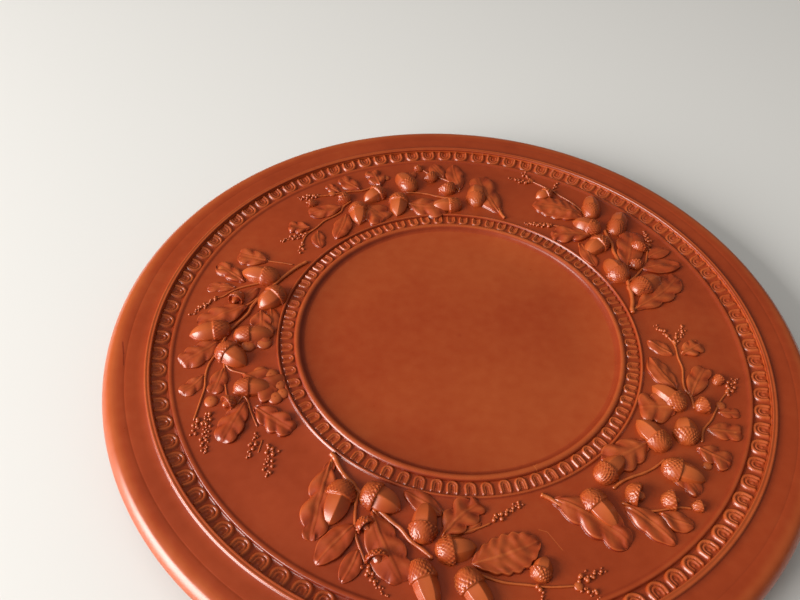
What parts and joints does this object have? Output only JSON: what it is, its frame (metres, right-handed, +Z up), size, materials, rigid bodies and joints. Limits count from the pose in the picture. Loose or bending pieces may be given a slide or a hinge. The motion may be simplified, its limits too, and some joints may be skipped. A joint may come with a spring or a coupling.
{
  "type": "terra sigillata relief plate",
  "caption": "Broad flat round platter on a low foot ring, with oak sprays and acorns in relief on its field between two egg bands.",
  "frame": {"origin": "centre of the foot ring's underside, on the surface that the plate stands on", "axes": "+Z up through the middle of the plate, +Y away from the viewer of the picture"},
  "size_m": [0.36, 0.36, 0.0276],
  "materials": {
    "red_gloss_clay": "fired red clay with a satin red-orange gloss slip"
  },
  "bodies": {
    "root": {"plate": "red_gloss_clay"}
  },
  "joints": []
}
